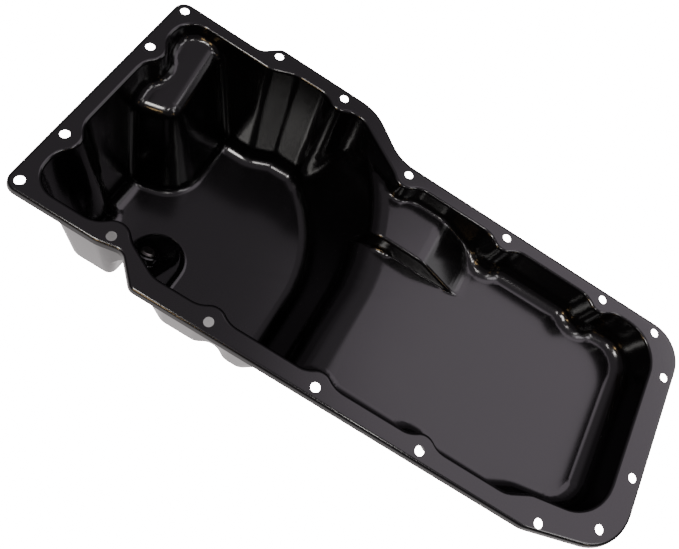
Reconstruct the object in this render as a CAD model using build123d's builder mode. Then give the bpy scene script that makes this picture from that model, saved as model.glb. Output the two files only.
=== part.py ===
from build123d import *
import os
from math import cos, radians, sin, tan

# Pressed steel engine oil pan with its drain plug, in millimetres, lying open side up.
# The origin is midway between the two corner bolt holes of the rear end, on the gasket face.
# X runs forward along the engine, Y runs across it and Z points up, out of the pan.

# Sheet and gasket flange
sheet = 1.5
flange_margin = 10.5
flange_bend = 3.2
lip_depth = 6.0
lip_flare = 15.0
bolt_hole = 8.0

# Bolt rows, as distances from the origin
rear_corner_y = 104.0
rear_inner_y = 54.0
rear_side_x = 78.6
near_row_y = -121.0
near_row_x = 175.2
near_row_pitch = 94.5
near_front_x = 475.0
front_cut_x = 525.0
front_cut_y = -99.6
front_row_x = 539.0
front_row_near_y = -47.2
front_row_far_y = 51.4
front_corner_x = 517.1
far_row_y = 86.6
far_row_x = 245.8
far_row_pitch = 106.3
wide_row_y = 118.3
wide_row_rear_x = 89.5
wide_row_front_x = 159.0

# Flange outline: places where its straight edges would meet, and the rounding there
rear_edge_end_x = rear_side_x - 7.0
near_neck_x = rear_side_x + 13.0
near_neck_y = -110.5
near_edge_start_x = rear_side_x + 34.0
near_edge_end_x = near_front_x - 11.0
front_edge_near_y = -110.5
far_edge_end_x = far_row_x - 13.0
wide_edge_front_x = wide_row_front_x + 31.0
wide_edge_rear_x = wide_row_rear_x - 2.5
rear_far_end_x = wide_row_rear_x - 17.0
corner_round = 12.0
neck_round = 30.0
small_round = 9.0
front_near_round = 45.0
front_far_round = 34.0
wide_front_round = 50.0

# Walls, with their places taken at the gasket face
wall_draft = 2.5
wall_bend = 3.0
wall_corner = 21.0
pad_radius = 14.0
pad_blend = 22.0
rear_wall_x = 5.5
rear_wall_y = 101.2
near_wall_y = -113.3
far_wall_y = 81.0
wide_wall_y = 111.6
front_wall_x = 523.5
front_near_corner = 38.0
front_far_corner = 34.0
near_neck_wall_x = 84.0
near_neck_wall_y = -94.5
near_wall_start_x = 122.0
near_wall_end_x = 441.0
near_bend_x = 462.0
near_bend_y = -103.3
front_wall_near_y = -94.0
far_neck_x = far_row_x - 5.8
far_neck_y = 75.6
wide_corner_x = wide_row_front_x + 6.0
wide_corner_y = 122.5
wide_wall_start_x = 113.0
wide_wall_rear_x = 90.0

# Shallow front floor, the step down from it and the deep rear sump
shelf_depth = 45.0
shelf_fillet = 15.0
sump_depth = 155.0
sump_fillet = 16.0
step_foot_x = 214.0
step_foot_radius = 143.0
step_centre_y = -23.0
step_lean = 16.0
step_roll = 40.0

# Raised pad at the rear far corner of the front floor
boss_depth = 22.0
boss_near_y = 29.5
boss_slope_top = 298.0
boss_slope_foot = 341.0
boss_slope_roll = 30.0
boss_slope_fillet = 40.0
boss_roll = 18.0
boss_ridge = 3.5

# Ledge in the rear far corner of the sump
ledge_depth = 15.0
ledge_slope = 16.0
ledge_foot_x = 62.0
ledge_foot_y = 13.0
ledge_turn = 15.0
ledge_corner = 34.0
ledge_lean = 9.0
ledge_roll = 14.0
ledge_fillet = 9.0

# Recess for the drain plug, low in the near wall
drain_x = 82.0
recess_radius = 25.0
recess_column = 100.0
recess_far_y = -34.0
recess_height = 8.0
recess_slant = 40.0
recess_lean = 8.0
recess_roll = 8.0
recess_fillet = 6.0

# Drain nut, washer and plug
drain_y = -75.0
drain_hole = 16.0
drain_thread = 14.0
thread_clearance = 0.1
nut_diameter = 22.0
nut_height = 9.0
nut_chamfer = 1.0
washer_diameter = 22.0
washer_thickness = 1.5
plug_collar = 22.0
plug_collar_height = 2.5
plug_flats = 17.0
plug_head_height = 7.0
plug_end = 2.0
plug_chamfer = 1.5

# How far the cutting solids run on past the pan
overrun = 60.0
reach = 400.0

bolt_pads = [
    (0, rear_inner_y),
    (0, -rear_inner_y),
    (rear_side_x, -rear_corner_y),
    (near_row_x, near_row_y),
    (near_row_x + near_row_pitch, near_row_y),
    (near_row_x + 2 * near_row_pitch, near_row_y),
    (wide_row_front_x, wide_row_y),
    (far_row_x, far_row_y),
    (far_row_x + far_row_pitch, far_row_y),
    (far_row_x + 2 * far_row_pitch, far_row_y),
]
bolt_holes = bolt_pads + [
    (0, rear_corner_y),
    (0, -rear_corner_y),
    (wide_row_rear_x, wide_row_y),
    (near_front_x, near_row_y),
    (front_cut_x, front_cut_y),
    (front_row_x, front_row_near_y),
    (front_row_x, front_row_far_y),
    (front_corner_x, far_row_y),
]


def flange_outline():
    rear_y = rear_corner_y + flange_margin
    near_y = near_row_y - flange_margin
    wide_y = wide_row_y + flange_margin
    far_y = far_row_y + flange_margin
    front_x = front_row_x + flange_margin
    corners = [
        ((-flange_margin, -rear_y), corner_round),
        ((rear_edge_end_x, -rear_y), neck_round),
        ((near_neck_x, near_neck_y), small_round),
        ((near_edge_start_x, near_y), small_round),
        ((near_edge_end_x, near_y), neck_round),
        ((front_x, front_edge_near_y), front_near_round),
        ((front_x, far_y), front_far_round),
        ((far_edge_end_x, far_y), front_near_round),
        ((wide_edge_front_x, wide_y), wide_front_round),
        ((wide_edge_rear_x, wide_y), small_round),
        ((rear_far_end_x, rear_y), corner_round),
        ((-flange_margin, rear_y), corner_round),
    ]
    with BuildSketch() as outline:
        with BuildLine():
            FilletPolyline(
                [point for point, radius in corners],
                radius=[radius for point, radius in corners],
                close=True,
            )
        make_face()
    return outline.sketch


def on_pad(vertex):
    return any(
        abs((Vector(vertex.X, vertex.Y) - Vector(x, y)).length - pad_radius) < 0.01
        for x, y in bolt_pads
    )


def wall_outline(grow):
    corners = [
        ((rear_wall_x, -rear_wall_y), wall_corner),
        ((rear_side_x, -rear_wall_y), 0),
        ((near_neck_wall_x, near_neck_wall_y), 0),
        ((near_wall_start_x, near_wall_y), pad_blend),
        ((near_wall_end_x, near_wall_y), pad_blend),
        ((near_bend_x, near_bend_y), pad_blend),
        ((front_wall_x, front_wall_near_y), front_near_corner),
        ((front_wall_x, far_wall_y), front_far_corner),
        ((far_row_x, far_wall_y), 0),
        ((far_neck_x, far_neck_y), 0),
        ((wide_corner_x, wide_corner_y), 0),
        ((wide_row_front_x, wide_wall_y), 0),
        ((wide_wall_start_x, wide_wall_y), pad_blend),
        ((wide_wall_rear_x, rear_wall_y), pad_blend),
        ((rear_wall_x, rear_wall_y), wall_corner),
    ]
    with BuildSketch() as outline:
        with BuildLine():
            FilletPolyline(
                [point for point, radius in corners],
                radius=[radius for point, radius in corners],
                close=True,
            )
        make_face()
        with Locations(bolt_pads):
            Circle(pad_radius, mode=Mode.SUBTRACT)
        fillet([v for v in outline.vertices() if on_pad(v)], pad_blend)
        if grow:
            offset(amount=grow)
    return outline.sketch


def upright(face):
    return abs(face.normal_at().Z) < 0.01


def basin(grow):
    depth = sump_depth + grow
    with BuildPart() as block:
        with BuildSketch():
            add(wall_outline(grow))
        extrude(amount=-depth)
        draft(block.faces().filter_by(upright), neutral_plane=Plane.XY, angle=-wall_draft)
        fillet(block.faces().sort_by(Axis.Z)[0].edges(), sump_fillet + grow)
    return block.part


def step_ground(floor_depth, roll, grow):
    lean = tan(radians(step_lean))
    side = step_foot_x + grow / cos(radians(step_lean))
    floor_z = -floor_depth - grow
    low_z = -sump_depth - overrun
    with BuildPart() as ground:
        with BuildSketch(Plane.XZ.offset(-step_centre_y)) as profile:
            with BuildLine():
                FilletPolyline(
                    (side - overrun * lean, low_z),
                    (side + (sump_depth + floor_z) * lean, floor_z),
                    (side + reach, floor_z),
                    (side + reach, low_z),
                    radius=[0, roll - grow, 0, 0],
                    close=True,
                )
            make_face()
        extrude(amount=reach)
        step_axis = Axis((step_foot_x - step_foot_radius, step_centre_y, 0), (0, 0, 1))
        revolve(profile.sketch, axis=step_axis, revolution_arc=90)
    return ground.part


def raised_boss(grow):
    top_z = -boss_depth - grow
    foot_z = -shelf_depth - grow
    foot_end_x = boss_slope_foot + overrun
    ground = step_ground(boss_depth, boss_roll, grow)
    with BuildPart() as boss:
        with BuildSketch(Plane.XZ.offset(-boss_near_y - grow)):
            with BuildLine():
                FilletPolyline(
                    (wide_row_rear_x, -sump_depth),
                    (wide_row_rear_x, top_z),
                    (boss_slope_top + grow, top_z),
                    (boss_slope_foot + grow, foot_z),
                    (foot_end_x, foot_z),
                    (foot_end_x, -sump_depth),
                    radius=[0, 0, boss_slope_roll - grow, boss_slope_fillet + grow, 0, 0],
                    close=True,
                )
            make_face()
        extrude(amount=-reach)
        add(ground, mode=Mode.INTERSECT)
        near_face = boss.faces().sort_by(Axis.Y)[0]
        ridge = near_face.edges().filter_by(lambda e: e.center().Z > foot_z + 0.5)
        fillet(ridge, boss_ridge - grow)
    return boss.part


def corner_ledge(grow):
    foot = Plane.XY.offset(-sump_depth - grow)
    drop = reach * tan(radians(ledge_slope))
    rear_y = ledge_foot_y - (ledge_foot_x + overrun) * tan(radians(ledge_turn))
    top_z = -ledge_depth - grow
    back_y = rear_wall_y + overrun
    with BuildPart() as block:
        with BuildSketch(foot):
            with BuildLine():
                FilletPolyline(
                    (-overrun, back_y),
                    (ledge_foot_x, back_y),
                    (ledge_foot_x, ledge_foot_y),
                    (-overrun, rear_y),
                    radius=[0, 0, ledge_corner, 0],
                    close=True,
                )
            make_face()
            if grow:
                offset(amount=-grow)
        extrude(amount=sump_depth)
        inward = block.faces().filter_by(upright).filter_by(lambda f: f.normal_at().X > 0.1)
        draft(inward, neutral_plane=foot, angle=ledge_lean)
        with BuildSketch(Plane.YZ.offset(-reach)):
            with BuildLine():
                Polyline(
                    (rear_wall_y + reach, top_z + drop),
                    (rear_wall_y - reach, top_z - drop),
                    (rear_wall_y - reach, reach),
                    (rear_wall_y + reach, reach),
                    close=True,
                )
            make_face()
        extrude(amount=2 * reach, mode=Mode.SUBTRACT)
        rim = block.edges(Select.NEW).sort_by_distance((ledge_foot_x, ledge_foot_y, top_z))[:3]
        fillet(rim, ledge_roll - grow)
    return block.part


def drain_recess(grow):
    foot = Plane.XY.offset(-sump_depth - grow)
    rise = reach * tan(radians(recess_slant))
    edge_z = -sump_depth + recess_height - grow / cos(radians(recess_slant))
    radius = recess_radius - grow
    centre_y = recess_far_y - recess_radius
    with BuildPart() as block:
        with BuildSketch(foot):
            with Locations((drain_x, centre_y)):
                Circle(radius)
            with Locations((drain_x, centre_y - reach / 2)):
                Rectangle(2 * radius, reach)
        extrude(amount=recess_column)
        inward = block.faces().filter_by(upright).filter_by(lambda f: f.normal_at().Y > -0.9)
        draft(inward, neutral_plane=foot, angle=recess_lean)
        with BuildSketch(Plane.YZ.offset(-reach)):
            with BuildLine():
                Polyline(
                    (recess_far_y + reach, edge_z - rise),
                    (recess_far_y - reach, edge_z + rise),
                    (recess_far_y + reach, edge_z + rise),
                    close=True,
                )
            make_face()
        extrude(amount=2 * reach, mode=Mode.SUBTRACT)
        rim = block.edges(Select.NEW).sort_by(Axis.Z)[:-1]
        fillet(rim, recess_roll - grow)
    return block.part


def pressed_form(grow):
    hollow = basin(grow)
    ground = step_ground(shelf_depth, step_roll, grow)
    ledge = corner_ledge(grow)
    recess = drain_recess(grow)
    boss = raised_boss(grow)
    with BuildPart() as form:
        add(hollow)
        add(ground, mode=Mode.SUBTRACT)
        fillet(form.edges(Select.NEW), shelf_fillet + grow)
        add(ledge, mode=Mode.SUBTRACT)
        fillet(form.edges(Select.NEW), ledge_fillet + grow)
        add(recess, mode=Mode.SUBTRACT)
        fillet(form.edges(Select.NEW), recess_fillet + grow)
        add(boss, mode=Mode.SUBTRACT)
    return form.part


def flange_cap(grow):
    with BuildPart() as cap:
        with BuildSketch(Plane.XY.offset(-grow)):
            add(flange_outline())
            if grow:
                offset(amount=-grow)
        extrude(amount=-lip_depth + grow)
        sides = cap.faces().filter_by(upright)
        draft(sides, neutral_plane=Plane.XY.offset(-lip_depth), angle=lip_flare)
        fillet(cap.faces().sort_by(Axis.Z)[-1].edges(), flange_bend - grow)
    return cap.part


recess_rise = tan(radians(recess_slant))
drain_z = -sump_depth + recess_height + (recess_far_y - drain_y) * recess_rise
drain_axis = (0, sin(radians(recess_slant)), cos(radians(recess_slant)))
drain_plane = Plane(origin=(drain_x, drain_y, drain_z), x_dir=(1, 0, 0), z_dir=drain_axis)

outside = pressed_form(sheet)
inside = pressed_form(0)
flange_top = flange_cap(0)
flange_under = flange_cap(sheet)

# Pressed shell: flange with its bent lip, walls, front floor and sump in one sheet
with BuildPart() as pan_shell:
    add(flange_top)
    add(flange_under, mode=Mode.SUBTRACT)
    add(outside)
    fillet(pan_shell.edges(Select.NEW), wall_bend - sheet)
    add(inside, mode=Mode.SUBTRACT)
    fillet(pan_shell.faces().sort_by(Axis.Z)[-1].inner_wires()[0].edges(), wall_bend)
    with Locations(bolt_holes):
        Hole(bolt_hole / 2, depth=2 * sheet)
    with Locations(drain_plane):
        Hole(drain_hole / 2, depth=3 * sheet)

# Nut welded inside the recess
with BuildPart() as drain_nut:
    with BuildSketch(drain_plane):
        Circle(nut_diameter / 2)
        Circle(drain_thread / 2 + thread_clearance, mode=Mode.SUBTRACT)
    extrude(amount=nut_height)
    chamfer(drain_nut.edges().filter_by(GeomType.CIRCLE).group_by(Axis.Z)[-1], nut_chamfer)

# Sealing washer under the plug
washer_plane = drain_plane.offset(-sheet - washer_thickness)
with BuildPart() as drain_washer:
    with BuildSketch(washer_plane):
        Circle(washer_diameter / 2)
        Circle(drain_thread / 2 + thread_clearance, mode=Mode.SUBTRACT)
    extrude(amount=washer_thickness)

# Drain plug: hexagon head, collar and threaded shank
shank_length = washer_thickness + sheet + nut_height + plug_end
with BuildPart() as drain_plug:
    with BuildSketch(washer_plane):
        Circle(drain_thread / 2)
    extrude(amount=shank_length)
    chamfer(drain_plug.faces().sort_by(Axis.Z)[-1].edges(), plug_chamfer)
    with BuildSketch(washer_plane):
        Circle(plug_collar / 2)
    extrude(amount=-plug_collar_height)
    with BuildSketch(washer_plane.offset(-plug_collar_height)):
        RegularPolygon(plug_flats / 2, 6, major_radius=False)
    extrude(amount=-plug_head_height)

os.makedirs("parts", exist_ok=True)
pan_shell.part.label = "pan_shell"
drain_nut.part.label = "drain_nut"
drain_washer.part.label = "drain_washer"
drain_plug.part.label = "drain_plug"
export_step(pan_shell.part, "parts/pan_shell.step")
export_step(drain_nut.part, "parts/drain_nut.step")
export_step(drain_washer.part, "parts/drain_washer.step")
export_step(drain_plug.part, "parts/drain_plug.step")
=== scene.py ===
import math

import bmesh
import bpy
from mathutils import Matrix, Vector
from mathutils.kdtree import KDTree


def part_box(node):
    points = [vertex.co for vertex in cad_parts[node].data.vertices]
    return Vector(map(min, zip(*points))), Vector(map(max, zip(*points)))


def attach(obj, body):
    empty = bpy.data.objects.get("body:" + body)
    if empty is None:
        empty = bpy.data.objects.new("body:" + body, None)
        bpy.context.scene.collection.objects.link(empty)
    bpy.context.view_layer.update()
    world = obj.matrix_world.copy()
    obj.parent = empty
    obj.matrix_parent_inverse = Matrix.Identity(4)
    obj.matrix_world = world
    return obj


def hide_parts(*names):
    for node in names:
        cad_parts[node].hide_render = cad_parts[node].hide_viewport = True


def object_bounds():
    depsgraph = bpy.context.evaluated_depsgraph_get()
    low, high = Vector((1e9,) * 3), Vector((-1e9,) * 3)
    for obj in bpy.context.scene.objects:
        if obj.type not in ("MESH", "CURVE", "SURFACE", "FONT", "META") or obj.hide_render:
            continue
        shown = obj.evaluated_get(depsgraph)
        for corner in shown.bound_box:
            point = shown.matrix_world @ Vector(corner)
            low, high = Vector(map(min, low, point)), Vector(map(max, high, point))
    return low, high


bl_info = {
    "name": "Engine oil pan",
    "version": (1, 0, 0),
    "blender": (4, 5, 0),
    "location": "View3D > Sidebar > Oil pan",
    "description": "Dresses the pressed oil pan, its drain fittings and a light stage",
    "category": "Object",
}

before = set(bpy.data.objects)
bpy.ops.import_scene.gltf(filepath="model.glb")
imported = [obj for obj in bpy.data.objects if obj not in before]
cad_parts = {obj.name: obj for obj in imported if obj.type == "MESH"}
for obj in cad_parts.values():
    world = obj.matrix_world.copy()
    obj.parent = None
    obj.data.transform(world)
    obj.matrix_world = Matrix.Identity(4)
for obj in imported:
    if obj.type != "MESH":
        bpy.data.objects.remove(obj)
cad_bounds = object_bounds()

PAN = "pan_shell"
NUT = "drain_nut"
WASHER = "drain_washer"
PLUG = "drain_plug"
BODY = "root"

# Points closer than this are merged, in metres
MERGE = 1e-6

# Weight of large faces in the pan's normals, the most that there is
FACE_WEIGHT = 100

# Sprayed surface: detail of its small waves, waves per metre and detail of the
# clouds in its gloss, and the mean of the noise that makes them
WAVE_DETAIL = 2.0
CLOUD_SCALE = 35.0
CLOUD_DETAIL = 4.0
NOISE_MIDDLE = 0.5

# Bare metals: name, colour, roughness, spread of the roughness, grain in metres
WASHER_METAL = ("washer aluminium", (0.60, 0.60, 0.61), 0.34, 0.12, 0.0009)
PLUG_METAL = ("dark plated steel", (0.11, 0.105, 0.10), 0.36, 0.16, 0.0007)
# Size of a metal's grain over its depth
GRAIN_RATIO = 40.0

# Steps of a full turn of a turned piece, of the weld bead and of the thread
TURN_STEPS = 72
BEAD_STEPS = 180
THREAD_STEPS = 48
# Corners of the weld bead's round section
BEAD_CORNERS = 10
# Edges of the washer that turn by more than this stay sharp
WASHER_CREASE = math.radians(50)

# Thread: depth, half the base and half the crest, as shares of the pitch, and how
# far its root is sunk into the shank, in metres
THREAD_DEPTH = 0.54
THREAD_BASE = 0.46
THREAD_CREST = 0.08
THREAD_SUNK = 0.0002

# Plug's head: points round it, angle of one side, lean of the cone on its corners,
# and radius of its end as a share of half the width across flats
HEAD_POINTS = 60
HEAD_SIDE = math.radians(60)
HEAD_CONE = math.radians(30)
HEAD_END = 0.96

# Soft foot: slivers are merged below the mesh's length over this share, the mesh is
# made finer within this many reaches in at most so many rounds, and then smoothed in
# turns that each move a point by a share of the way to its neighbours' middle
SLIVER_SHARE = 6.0
FINE_REACH = 2.0
FINE_ROUNDS = 7
SMOOTH_TURNS = 12
SMOOTH_SHARE = 0.5

# Camera: width of its sensor in millimetres, and the nearest that it sees, in metres
SENSOR_WIDTH = 36.0
NEAR_CLIP = 0.01

# Studio lamps: name, place, width, height, brightness of the lamp's face, colour
LAMPS = (
    ("key lamp", (-0.25, -0.90, 1.12), 0.20, 0.34, 46.0, (1.0, 0.97, 0.94)),
    ("near lamp", (0.53, -0.78, 1.13), 0.08, 0.30, 36.0, (1.0, 0.97, 0.94)),
    ("front lamp", (1.20, -0.47, 0.93), 0.14, 0.40, 10.0, (1.0, 0.98, 0.97)),
    ("front soft box", (2.60, -0.30, 2.90), 0.90, 0.90, 6.0, (1.0, 0.96, 1.0)),
    ("low window", (1.90, 1.00, 0.86), 1.10, 1.40, 1.7, (1.0, 0.97, 1.0)),
    ("warm front lamp", (1.60, -0.86, 0.46), 0.10, 0.06, 16.0, (1.0, 0.66, 0.30)),
    ("warm near lamp", (-0.13, -1.20, 0.56), 0.20, 0.14, 26.0, (1.0, 0.66, 0.30)),
)


class PaintSizes(bpy.types.PropertyGroup):
    """Colour and surface of the black paint"""

    base: bpy.props.FloatVectorProperty(
        name="Paint colour",
        description="Colour of the black paint",
        default=(0.0018, 0.0017, 0.0019),
        size=3,
        min=0.0,
        max=1.0,
        subtype="COLOR",
    )
    gloss: bpy.props.FloatProperty(
        name="Paint roughness",
        description="Mean roughness of the paint",
        default=0.17,
        min=0.0,
        max=1.0,
        subtype="FACTOR",
    )
    spread: bpy.props.FloatProperty(
        name="Roughness spread",
        description="How far the roughness wanders from its mean",
        default=0.04,
        min=0.0,
        max=1.0,
        subtype="FACTOR",
    )
    crease: bpy.props.FloatProperty(
        name="Crease angle",
        description="Edges that turn by more than this stay sharp",
        default=math.radians(32),
        subtype="ANGLE",
    )
    peel_size: bpy.props.FloatProperty(
        name="Peel size",
        description="Distance between the small waves of the sprayed surface",
        default=0.0016,
        min=0.0001,
        unit="LENGTH",
    )
    peel_depth: bpy.props.FloatProperty(
        name="Peel depth",
        description="Height of the small waves of the sprayed surface",
        default=0.000006,
        min=0.0,
        unit="LENGTH",
    )


class FootSizes(bpy.types.PropertyGroup):
    """Soft foot of the raised pad"""

    low: bpy.props.FloatVectorProperty(
        name="Pad foot from",
        description="Low corner of the box round the foot of the raised pad",
        default=(0.215, 0.0175, -0.048),
        size=3,
        unit="LENGTH",
    )
    high: bpy.props.FloatVectorProperty(
        name="Pad foot to",
        description="High corner of the box round the foot of the raised pad",
        default=(0.350, 0.0900, -0.018),
        size=3,
        unit="LENGTH",
    )
    reach: bpy.props.FloatProperty(
        name="Foot reach",
        description="How far the soft foot of the raised pad runs from the bend",
        default=0.006,
        unit="LENGTH",
    )
    mesh: bpy.props.FloatProperty(
        name="Foot mesh",
        description="Length of the mesh's edges at the foot of the raised pad",
        default=0.0025,
        unit="LENGTH",
    )


class DrainSizes(bpy.types.PropertyGroup):
    """Drain nut, washer and plug, whose axis runs through the middle of the washer"""

    slant: bpy.props.FloatProperty(
        name="Slant",
        description="Angle between the drain's axis and the vertical",
        default=math.radians(40),
        subtype="ANGLE",
    )
    sheet: bpy.props.FloatProperty(
        name="Sheet",
        description="Thickness of the pan's sheet",
        default=0.0015,
        unit="LENGTH",
    )
    washer_height: bpy.props.FloatProperty(
        name="Washer thickness",
        description="Thickness of the sealing washer",
        default=0.0015,
        unit="LENGTH",
    )
    washer_radius: bpy.props.FloatProperty(
        name="Washer radius",
        description="Outer radius of the sealing washer",
        default=0.011,
        unit="LENGTH",
    )
    bore: bpy.props.FloatProperty(
        name="Bore radius",
        description="Radius of the hole in the nut and in the washer",
        default=0.0071,
        unit="LENGTH",
    )
    nut_radius: bpy.props.FloatProperty(
        name="Nut radius",
        description="Outer radius of the welded nut",
        default=0.011,
        unit="LENGTH",
    )
    nut_height: bpy.props.FloatProperty(
        name="Nut height",
        description="Height of the welded nut",
        default=0.009,
        unit="LENGTH",
    )
    nut_chamfer: bpy.props.FloatProperty(
        name="Nut chamfer",
        description="Chamfer round the nut's far end",
        default=0.001,
        unit="LENGTH",
    )
    mouth: bpy.props.FloatProperty(
        name="Mouth",
        description="Chamfer at the mouth of the nut's hole",
        default=0.0006,
        unit="LENGTH",
    )
    edge: bpy.props.FloatProperty(
        name="Edge",
        description="Chamfer on the edges of the washer and of the plug's collar",
        default=0.0004,
        unit="LENGTH",
    )
    weld: bpy.props.FloatProperty(
        name="Weld bead",
        description="Thickness of the weld bead round the nut's foot",
        default=0.0011,
        unit="LENGTH",
    )
    weld_lift: bpy.props.FloatProperty(
        name="Weld lift",
        description="Height of the bead's middle, as a share of its thickness",
        default=0.35,
    )
    ripples: bpy.props.IntProperty(
        name="Weld ripples",
        description="Number of ripples round the weld bead",
        default=34,
        min=0,
    )
    ripple_swell: bpy.props.FloatProperty(
        name="Ripple swell",
        description="How far the ripples swell the bead, as a share of its radius",
        default=0.012,
    )
    crease: bpy.props.FloatProperty(
        name="Crease angle",
        description="Edges that turn by more than this stay sharp",
        default=math.radians(35),
        subtype="ANGLE",
    )
    thread: bpy.props.FloatProperty(
        name="Thread radius",
        description="Outer radius of the plug's thread",
        default=0.007,
        unit="LENGTH",
    )
    pitch: bpy.props.FloatProperty(
        name="Thread pitch",
        description="Pitch of the plug's thread",
        default=0.0015,
        unit="LENGTH",
    )
    plug_end: bpy.props.FloatProperty(
        name="Plug end",
        description="How far the plug stands out of the nut",
        default=0.002,
        unit="LENGTH",
    )
    chamfer: bpy.props.FloatProperty(
        name="Plug chamfer",
        description="Chamfer at the end of the plug's thread",
        default=0.0015,
        unit="LENGTH",
    )
    collar: bpy.props.FloatProperty(
        name="Collar radius",
        description="Radius of the plug's collar",
        default=0.011,
        unit="LENGTH",
    )
    collar_height: bpy.props.FloatProperty(
        name="Collar height",
        description="Height of the plug's collar",
        default=0.0025,
        unit="LENGTH",
    )
    flats: bpy.props.FloatProperty(
        name="Width across flats",
        description="Width across the flats of the plug's head",
        default=0.017,
        unit="LENGTH",
    )
    head_height: bpy.props.FloatProperty(
        name="Head height",
        description="Height of the plug's hexagon",
        default=0.007,
        unit="LENGTH",
    )


class StageSizes(bpy.types.PropertyGroup):
    """Camera, floor and light"""

    focal: bpy.props.FloatProperty(
        name="Focal length",
        description="Focal length of the camera on a 36 mm sensor, in millimetres",
        default=36.02,
    )
    shift: bpy.props.FloatVectorProperty(
        name="Lens shift",
        description="Shift of the picture, as a share of its width",
        default=(-0.0884, -0.0442),
        size=2,
    )
    place: bpy.props.FloatVectorProperty(
        name="Camera place",
        description="Place of the camera",
        default=(0.2297, -0.2490, 0.5157),
        size=3,
        subtype="TRANSLATION",
        unit="LENGTH",
    )
    right: bpy.props.FloatVectorProperty(
        name="Camera right",
        description="Direction of the picture's right side",
        default=(0.84237, 0.44736, 0.30047),
        size=3,
    )
    down: bpy.props.FloatVectorProperty(
        name="Camera down",
        description="Direction of the picture's lower side",
        default=(0.53445, -0.76500, -0.35936),
        size=3,
    )
    floor_half: bpy.props.FloatProperty(
        name="Floor half width",
        description="Half the width of the floor",
        default=4.0,
        unit="LENGTH",
    )
    floor_seen: bpy.props.FloatProperty(
        name="Floor brightness seen",
        description="Brightness of the floor and the studio behind it in the picture",
        default=22.0,
    )
    floor_glow: bpy.props.FloatProperty(
        name="Floor brightness on the part",
        description="Brightness of the floor that the paint reflects",
        default=1.2,
    )
    floor_tint: bpy.props.FloatVectorProperty(
        name="Floor tint",
        description="Colour of the floor",
        default=(1.0, 0.945, 0.95),
        size=3,
        min=0.0,
        max=1.0,
        subtype="COLOR",
    )
    sky_low: bpy.props.FloatProperty(
        name="Dim sky",
        description="Brightness of the studio away from the soft box",
        default=0.52,
    )
    sky_rim: bpy.props.FloatProperty(
        name="Studio walls",
        description="Brightness of the studio at the height of the part",
        default=0.14,
    )
    sky_high: bpy.props.FloatProperty(
        name="Soft box",
        description="Brightness of the soft box",
        default=2.2,
    )
    sky_tint: bpy.props.FloatVectorProperty(
        name="Studio tint",
        description="Colour of the studio light",
        default=(1.0, 0.89, 1.0),
        size=3,
        min=0.0,
        max=1.0,
        subtype="COLOR",
    )
    sky_axis: bpy.props.FloatVectorProperty(
        name="Soft box direction",
        description="Direction of the middle of the soft box",
        default=(0.36, 0.36, 0.86),
        size=3,
    )
    sky_edge: bpy.props.FloatProperty(
        name="Soft box edge",
        description="Angle from the soft box's middle at which its light has faded out",
        default=math.radians(26),
        subtype="ANGLE",
    )
    sky_full: bpy.props.FloatProperty(
        name="Soft box core",
        description="Angle from the soft box's middle that is evenly bright",
        default=math.radians(10),
        subtype="ANGLE",
    )
    wall_top: bpy.props.FloatProperty(
        name="Wall top",
        description="Height angle at which the dark studio walls begin to brighten",
        default=math.radians(28),
        subtype="ANGLE",
    )
    roof_edge: bpy.props.FloatProperty(
        name="Roof edge",
        description="Height angle from which the studio's roof is evenly bright",
        default=math.radians(60),
        subtype="ANGLE",
    )
    lamp_glow: bpy.props.FloatProperty(
        name="Lamp brightness",
        description="Factor on the brightness of all the studio lamps",
        default=1.0,
    )


def socket(group, name, kind, default=None, output=False):
    """Give a node group one more input or output."""
    made = group.interface.new_socket(
        name=name, in_out="OUTPUT" if output else "INPUT", socket_type=kind
    )
    if default is not None:
        made.default_value = default


def sprayed_surface():
    """Node group: the small waves and uneven gloss of sprayed paint."""
    name = "Sprayed surface"
    if name in bpy.data.node_groups:
        return bpy.data.node_groups[name]
    group = bpy.data.node_groups.new(name, "ShaderNodeTree")
    socket(group, "Size", "NodeSocketFloat", 0.0016)
    socket(group, "Depth", "NodeSocketFloat", 0.000006)
    socket(group, "Roughness", "NodeSocketFloat", 0.2)
    socket(group, "Spread", "NodeSocketFloat", 0.04)
    socket(group, "Roughness", "NodeSocketFloat", output=True)
    socket(group, "Normal", "NodeSocketVector", output=True)
    nodes, links = group.nodes, group.links
    inputs = nodes.new("NodeGroupInput")
    outputs = nodes.new("NodeGroupOutput")
    place = nodes.new("ShaderNodeTexCoord")
    inverse = nodes.new("ShaderNodeMath")
    inverse.operation = "DIVIDE"
    inverse.inputs[0].default_value = 1.0
    links.new(inputs.outputs["Size"], inverse.inputs[1])
    waves = nodes.new("ShaderNodeTexNoise")
    waves.inputs["Detail"].default_value = WAVE_DETAIL
    links.new(place.outputs["Object"], waves.inputs["Vector"])
    links.new(inverse.outputs[0], waves.inputs["Scale"])
    bump = nodes.new("ShaderNodeBump")
    links.new(waves.outputs["Fac"], bump.inputs["Height"])
    links.new(inputs.outputs["Depth"], bump.inputs["Distance"])
    links.new(bump.outputs["Normal"], outputs.inputs["Normal"])
    clouds = nodes.new("ShaderNodeTexNoise")
    clouds.inputs["Scale"].default_value = CLOUD_SCALE
    clouds.inputs["Detail"].default_value = CLOUD_DETAIL
    links.new(place.outputs["Object"], clouds.inputs["Vector"])
    centred = nodes.new("ShaderNodeMath")
    centred.operation = "SUBTRACT"
    centred.inputs[1].default_value = NOISE_MIDDLE
    links.new(clouds.outputs["Fac"], centred.inputs[0])
    wander = nodes.new("ShaderNodeMath")
    wander.operation = "MULTIPLY_ADD"
    links.new(centred.outputs[0], wander.inputs[0])
    links.new(inputs.outputs["Spread"], wander.inputs[1])
    links.new(inputs.outputs["Roughness"], wander.inputs[2])
    links.new(wander.outputs[0], outputs.inputs["Roughness"])
    return group


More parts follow.
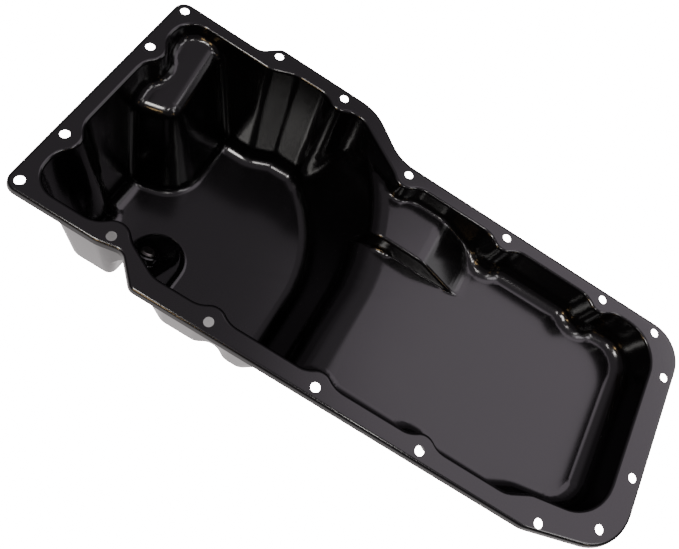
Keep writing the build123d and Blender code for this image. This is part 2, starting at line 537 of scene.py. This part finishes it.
def plain_material(name):
    """Make a material and give it back with its nodes and links."""
    material = bpy.data.materials.new(name)
    material.use_nodes = True
    return material, material.node_tree.nodes, material.node_tree.links


def sprayed_material(name, colour, metallic, roughness, spread, size, depth):
    """Make a material of one colour with small waves and uneven gloss."""
    material, nodes, links = plain_material(name)
    shader = nodes["Principled BSDF"]
    shader.inputs["Base Color"].default_value = (*colour, 1.0)
    shader.inputs["Metallic"].default_value = metallic
    spray = nodes.new("ShaderNodeGroup")
    spray.node_tree = sprayed_surface()
    spray.inputs["Size"].default_value = size
    spray.inputs["Depth"].default_value = depth
    spray.inputs["Roughness"].default_value = roughness
    spray.inputs["Spread"].default_value = spread
    links.new(spray.outputs["Roughness"], shader.inputs["Roughness"])
    links.new(spray.outputs["Normal"], shader.inputs["Normal"])
    return material


def black_paint(sizes):
    return sprayed_material(
        "black paint",
        sizes.base,
        0.0,
        sizes.gloss,
        sizes.spread,
        sizes.peel_size,
        sizes.peel_depth,
    )


def metal(name, colour, roughness, spread, grain):
    depth = grain / GRAIN_RATIO
    return sprayed_material(name, colour, 1.0, roughness, spread, grain, depth)


def turned(shape, profile, steps=TURN_STEPS):
    """Turn a profile of (radius, height) points about Z.

    The profile is closed, or ends on the axis.
    """
    ring = [shape.verts.new((radius, 0.0, height)) for radius, height in profile]
    pairs = [(ring[i - 1], ring[i]) for i in range(len(ring))]
    edges = [shape.edges.new(pair) for pair in pairs if any(vert.co.x for vert in pair)]
    bmesh.ops.spin(
        shape,
        geom=ring + edges,
        cent=(0.0, 0.0, 0.0),
        axis=(0.0, 0.0, 1.0),
        angle=math.tau,
        steps=steps,
        use_merge=True,
    )


def shaded(shape, sharp):
    """Shade all faces smooth, and keep turns of more than one angle sharp."""
    for face in shape.faces:
        face.smooth = True
    for edge in shape.edges:
        whole = len(edge.link_faces) == 2
        edge.smooth = whole and edge.calc_face_angle() < sharp


def finished(shape, sharp):
    """Merge what touches, turn all faces outwards and shade them."""
    bmesh.ops.remove_doubles(shape, verts=shape.verts, dist=MERGE)
    bmesh.ops.recalc_face_normals(shape, faces=shape.faces)
    shaded(shape, sharp)


def new_piece(name, shape, material):
    """Put a shape into the scene as an object at the origin."""
    mesh = bpy.data.meshes.new(name)
    shape.to_mesh(mesh)
    shape.free()
    mesh.materials.append(material)
    piece = bpy.data.objects.new(name, mesh)
    bpy.context.scene.collection.objects.link(piece)
    return piece


def soft_foot(shape, sizes, sharp):
    """Round the sharp bends at the foot of the raised pad over a few millimetres."""
    low, high = sizes.low, sizes.high

    def inside(vert):
        return all(low[i] <= vert.co[i] <= high[i] for i in range(3))

    def bends():
        edges = [
            edge
            for edge in shape.edges
            if len(edge.link_faces) == 2 and all(map(inside, edge.verts))
        ]
        return {
            vert
            for edge in edges
            if edge.calc_face_angle() > sharp
            for vert in edge.verts
        }

    def near(reach):
        points = bends()
        tree = KDTree(len(points))
        for index, vert in enumerate(points):
            tree.insert(vert.co, index)
        tree.balance()
        return {
            vert
            for vert in shape.verts
            if inside(vert) and tree.find(vert.co)[2] < reach
        }

    def triangles():
        faces = [face for face in shape.faces if len(face.verts) > 3]
        bmesh.ops.triangulate(shape, faces=faces)

    slivers = list(near(sizes.reach))
    bmesh.ops.remove_doubles(shape, verts=slivers, dist=sizes.mesh / SLIVER_SHARE)
    triangles()
    for _ in range(FINE_ROUNDS):
        close = near(FINE_REACH * sizes.reach)
        long = [
            edge
            for edge in shape.edges
            if edge.calc_length() > sizes.mesh
            and any(vert in close for vert in edge.verts)
        ]
        if not long:
            break
        bmesh.ops.subdivide_edges(shape, edges=long, cuts=1, use_single_edge=True)
        triangles()
    soft = list(near(sizes.reach))
    for _ in range(SMOOTH_TURNS):
        bmesh.ops.smooth_vert(
            shape,
            verts=soft,
            factor=SMOOTH_SHARE,
            use_axis_x=True,
            use_axis_y=True,
            use_axis_z=True,
        )


class OILPAN_OT_pan(bpy.types.Operator):
    """Make the pressed pan, smooth across its bends, in black paint"""

    bl_idname = "oilpan.pan"
    bl_label = "Pressed pan"

    def execute(self, context):
        sizes = context.scene.oilpan_paint
        shape = bmesh.new()
        shape.from_mesh(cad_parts[PAN].data)
        bmesh.ops.remove_doubles(shape, verts=shape.verts, dist=MERGE)
        soft_foot(shape, context.scene.oilpan_foot, sizes.crease)
        shaded(shape, sizes.crease)
        piece = new_piece("pressed_pan", shape, black_paint(sizes))
        weighted = piece.modifiers.new("even normals", "WEIGHTED_NORMAL")
        weighted.mode = "FACE_AREA"
        weighted.weight = FACE_WEIGHT
        weighted.keep_sharp = True
        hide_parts(PAN)
        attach(piece, BODY)
        return {"FINISHED"}


class OILPAN_OT_drain(bpy.types.Operator):
    """Make the welded drain nut, the sealing washer and the threaded plug"""

    bl_idname = "oilpan.drain"
    bl_label = "Drain fittings"

    def execute(self, context):
        sizes = context.scene.oilpan_drain
        paint = bpy.data.materials["black paint"]
        bright = metal(*WASHER_METAL)
        dark = metal(*PLUG_METAL)
        low, high = (Vector(corner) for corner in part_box(WASHER))
        turn = Matrix.Rotation(-sizes.slant, 4, "X")
        place = Matrix.Translation((low + high) / 2.0) @ turn
        for name, node, slot, material, make in (
            ("weld_nut", NUT, "black_paint", paint, self.nut),
            ("sealing_washer", WASHER, "washer", bright, self.washer),
            ("threaded_plug", PLUG, "plug", dark, self.plug),
        ):
            shape = bmesh.new()
            make(shape, sizes)
            bmesh.ops.transform(shape, matrix=place, verts=shape.verts)
            piece = new_piece(name, shape, material)
            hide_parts(node)
            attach(piece, BODY)
        return {"FINISHED"}

    def nut(self, shape, sizes):
        """A round nut with chamfered mouths and a rippled weld bead round its foot."""
        foot = sizes.washer_height / 2.0 + sizes.sheet
        top = foot + sizes.nut_height
        outer, bore = sizes.nut_radius, sizes.bore
        turned(shape, [
            (bore, foot),
            (outer, foot),
            (outer, top - sizes.nut_chamfer),
            (outer - sizes.nut_chamfer, top),
            (bore + sizes.mouth, top),
            (bore, top - sizes.mouth),
        ])
        finished(shape, sizes.crease)
        bead = self.bead(sizes, foot)
        shape.from_mesh(bead)
        bpy.data.meshes.remove(bead)

    def bead(self, sizes, foot):
        """A ring of weld with a ripple for each dab, cut flat on the sheet."""
        bead = bmesh.new()
        angles = [math.tau * i / BEAD_CORNERS for i in range(BEAD_CORNERS)]
        turned(bead, [
            (
                sizes.nut_radius + sizes.weld * math.cos(angle),
                foot + sizes.weld * (sizes.weld_lift + math.sin(angle)),
            )
            for angle in angles
        ], steps=BEAD_STEPS)
        finished(bead, math.pi)
        for vert in bead.verts:
            wave = math.cos(sizes.ripples * math.atan2(vert.co.y, vert.co.x))
            vert.co.xy *= 1.0 + sizes.ripple_swell * wave
        bmesh.ops.bisect_plane(
            bead,
            geom=bead.verts[:] + bead.edges[:] + bead.faces[:],
            plane_co=(0.0, 0.0, foot),
            plane_no=(0.0, 0.0, 1.0),
            clear_inner=True,
        )
        rim = [edge for edge in bead.edges if edge.is_boundary]
        bmesh.ops.bridge_loops(bead, edges=rim)
        bmesh.ops.recalc_face_normals(bead, faces=bead.faces)
        mesh = bpy.data.meshes.new("bead")
        bead.to_mesh(mesh)
        bead.free()
        return mesh

    def washer(self, shape, sizes):
        """A soft flat ring with rounded edges."""
        half = sizes.washer_height / 2.0
        edge = sizes.edge
        outer, bore = sizes.washer_radius, sizes.bore
        turned(shape, [
            (bore, half - edge),
            (bore, edge - half),
            (bore + edge, -half),
            (outer - edge, -half),
            (outer, edge - half),
            (outer, half - edge),
            (outer - edge, half),
            (bore + edge, half),
        ])
        finished(shape, WASHER_CREASE)

    def plug(self, shape, sizes):
        """A collared hexagon head on a threaded shank."""
        seat = -sizes.washer_height / 2.0
        foot = sizes.washer_height / 2.0 + sizes.sheet
        tip = foot + sizes.nut_height + sizes.plug_end
        under = seat - sizes.collar_height
        core = sizes.thread - THREAD_DEPTH * sizes.pitch
        end = sizes.thread - sizes.chamfer
        turned(shape, [
            (0.0, tip),
            (end, tip),
            (core, tip - (core - end)),
            (core, seat),
            (sizes.collar - sizes.edge, seat),
            (sizes.collar, seat - sizes.edge),
            (sizes.collar, under + sizes.edge),
            (sizes.collar - sizes.edge, under),
            (0.0, under),
        ])
        self.thread(shape, sizes, core, seat, tip)
        self.head(shape, sizes, under)
        finished(shape, sizes.crease)

    def thread(self, shape, sizes, core, seat, tip):
        """A ridge that winds up the shank and runs out into the end's chamfer."""
        turns = math.floor((tip - seat) / sizes.pitch) - 1
        base = THREAD_BASE * sizes.pitch
        crest = THREAD_CREST * sizes.pitch
        start = seat + base
        sunk = core - THREAD_SUNK
        corners = [
            (sunk, start - base),
            (sizes.thread, start - crest),
            (sizes.thread, start + crest),
            (sunk, start + base),
        ]
        ridge = [shape.verts.new((radius, 0.0, height)) for radius, height in corners]
        first = shape.faces.new(ridge)
        bmesh.ops.spin(
            shape,
            geom=[first],
            cent=(0.0, 0.0, 0.0),
            axis=(0.0, 0.0, 1.0),
            dvec=(0.0, 0.0, sizes.pitch / THREAD_STEPS),
            angle=math.tau * turns,
            steps=THREAD_STEPS * turns,
        )
        full = tip - sizes.chamfer
        for vert in shape.verts:
            limit = sizes.thread - (vert.co.z - full)
            if vert.co.z > full and vert.co.xy.length > limit:
                vert.co.xy *= limit / vert.co.xy.length

    def head(self, shape, sizes, under):
        """A hexagon with its corners turned down to a cone."""
        half = sizes.flats / 2.0
        inner = HEAD_END * half
        lean = math.tan(HEAD_CONE)
        circle = bmesh.ops.create_circle(
            shape, segments=HEAD_POINTS, radius=half, cap_ends=True
        )
        ring = circle["verts"]
        for vert in ring:
            turn = math.atan2(vert.co.y, vert.co.x) % HEAD_SIDE - HEAD_SIDE / 2.0
            vert.co.xy /= math.cos(turn)
        bmesh.ops.translate(shape, vec=(0.0, 0.0, under), verts=ring)
        end = self.raised_cap(shape, ring[0].link_faces[0])
        for vert in end.verts:
            vert.co.z -= sizes.head_height - (vert.co.xy.length - inner) * lean
        end = self.raised_cap(shape, end)
        for vert in end.verts:
            vert.co.xy *= inner / vert.co.xy.length
            vert.co.z = under - sizes.head_height

    def raised_cap(self, shape, face):
        """Extrude one many-sided face and give back the face at its new end."""
        corners = len(face.verts)
        rim = [face, *face.edges, *face.verts]
        made = bmesh.ops.extrude_face_region(shape, geom=rim)["geom"]
        faces = [item for item in made if isinstance(item, bmesh.types.BMFace)]
        return next(face for face in faces if len(face.verts) == corners)


def own_brightness(nodes, links, seen, strength):
    """Give the camera one brightness, and return the socket for all other light."""
    path = nodes.new("ShaderNodeLightPath")
    choice = nodes.new("ShaderNodeMix")
    choice.inputs["B"].default_value = seen
    links.new(path.outputs["Is Camera Ray"], choice.inputs["Factor"])
    links.new(choice.outputs["Result"], strength)
    return choice.inputs["A"]


def soft_step(nodes, start, end):
    """A node that runs smoothly from its lower value at start to its upper at end."""
    step = nodes.new("ShaderNodeMapRange")
    step.interpolation_type = "SMOOTHSTEP"
    step.inputs["From Min"].default_value = start
    step.inputs["From Max"].default_value = end
    return step


class OILPAN_OT_stage(bpy.types.Operator):
    """Set up the camera, the pale floor and the soft light"""

    bl_idname = "oilpan.stage"
    bl_label = "Stage"

    def execute(self, context):
        sizes = context.scene.oilpan_stage
        self.camera(context, sizes)
        self.floor(sizes)
        self.sky(context, sizes)
        for lamp in LAMPS:
            self.lamp(context, sizes, *lamp)
        return {"FINISHED"}

    def lamp(self, context, sizes, name, place, width, height, glow, colour):
        data = bpy.data.lights.new(name, "AREA")
        data.shape = "RECTANGLE"
        data.size = width
        data.size_y = height
        data.color = colour
        data.energy = sizes.lamp_glow * glow * math.pi * width * height
        light = bpy.data.objects.new(name, data)
        middle = (Vector(cad_bounds[0]) + Vector(cad_bounds[1])) / 2.0
        turn = (middle - Vector(place)).to_track_quat("-Z", "Y").to_matrix().to_4x4()
        light.matrix_world = Matrix.Translation(place) @ turn
        light.visible_camera = False
        context.scene.collection.objects.link(light)

    def camera(self, context, sizes):
        data = bpy.data.cameras.new("camera")
        data.sensor_width = SENSOR_WIDTH
        data.lens = sizes.focal
        data.shift_x, data.shift_y = sizes.shift
        data.clip_start = NEAR_CLIP
        camera = bpy.data.objects.new("camera", data)
        right = Vector(sizes.right).normalized()
        up = -Vector(sizes.down).normalized()
        back = right.cross(up)
        turn = Matrix((right, up, back)).transposed().to_4x4()
        camera.matrix_world = Matrix.Translation(sizes.place) @ turn
        context.scene.collection.objects.link(camera)
        context.scene.camera = camera

    def floor(self, sizes):
        material, nodes, links = plain_material("pale floor")
        nodes.clear()
        output = nodes.new("ShaderNodeOutputMaterial")
        light = nodes.new("ShaderNodeEmission")
        light.inputs["Color"].default_value = (*sizes.floor_tint, 1.0)
        strength = light.inputs["Strength"]
        glow = own_brightness(nodes, links, sizes.floor_seen, strength)
        glow.default_value = sizes.floor_glow
        links.new(light.outputs[0], output.inputs["Surface"])
        shape = bmesh.new()
        bmesh.ops.create_grid(shape, x_segments=1, y_segments=1, size=sizes.floor_half)
        low = cad_bounds[0][2]
        bmesh.ops.translate(shape, verts=shape.verts, vec=(0.0, 0.0, low))
        floor = new_piece("floor", shape, material)

    def sky(self, context, sizes):
        world = bpy.data.worlds.new("studio")
        world.use_nodes = True
        context.scene.world = world
        nodes, links = world.node_tree.nodes, world.node_tree.links
        back = nodes["Background"]
        back.inputs["Color"].default_value = (*sizes.sky_tint, 1.0)
        place = nodes.new("ShaderNodeTexCoord")
        facing = nodes.new("ShaderNodeVectorMath")
        facing.operation = "DOT_PRODUCT"
        facing.inputs[1].default_value = Vector(sizes.sky_axis).normalized()
        links.new(place.outputs["Generated"], facing.inputs[0])
        box = soft_step(nodes, math.cos(sizes.sky_edge), math.cos(sizes.sky_full))
        box.inputs["To Max"].default_value = sizes.sky_high
        links.new(facing.outputs["Value"], box.inputs["Value"])
        height = nodes.new("ShaderNodeSeparateXYZ")
        links.new(place.outputs["Generated"], height.inputs[0])
        walls = soft_step(nodes, math.sin(sizes.wall_top), math.sin(sizes.roof_edge))
        walls.inputs["To Min"].default_value = sizes.sky_rim
        walls.inputs["To Max"].default_value = sizes.sky_low
        links.new(height.outputs["Z"], walls.inputs["Value"])
        links.new(walls.outputs["Result"], box.inputs["To Min"])
        strength = back.inputs["Strength"]
        glow = own_brightness(nodes, links, sizes.floor_seen, strength)
        links.new(box.outputs["Result"], glow)


class OILPAN_PT_panel(bpy.types.Panel):
    """Buttons and sizes of the oil pan"""

    bl_label = "Oil pan"
    bl_idname = "OILPAN_PT_panel"
    bl_space_type = "VIEW_3D"
    bl_region_type = "UI"
    bl_category = "Oil pan"

    def draw(self, context):
        for operator in OPERATORS:
            self.layout.operator(operator.bl_idname)
        for group in SIZES:
            sizes = getattr(context.scene, group)
            for name in type(sizes).__annotations__:
                self.layout.prop(sizes, name)


OPERATORS = (OILPAN_OT_stage, OILPAN_OT_pan, OILPAN_OT_drain)
SIZES = {
    "oilpan_paint": PaintSizes,
    "oilpan_foot": FootSizes,
    "oilpan_drain": DrainSizes,
    "oilpan_stage": StageSizes,
}
CLASSES = (*SIZES.values(), *OPERATORS, OILPAN_PT_panel)


def register():
    for item in CLASSES:
        bpy.utils.register_class(item)
    for group, sizes in SIZES.items():
        setattr(bpy.types.Scene, group, bpy.props.PointerProperty(type=sizes))


def unregister():
    for group in SIZES:
        delattr(bpy.types.Scene, group)
    for item in reversed(CLASSES):
        bpy.utils.unregister_class(item)


def main():
    register()
    bpy.ops.oilpan.stage()
    bpy.ops.oilpan.pan()
    bpy.ops.oilpan.drain()


if __name__ == "__main__":
    main()
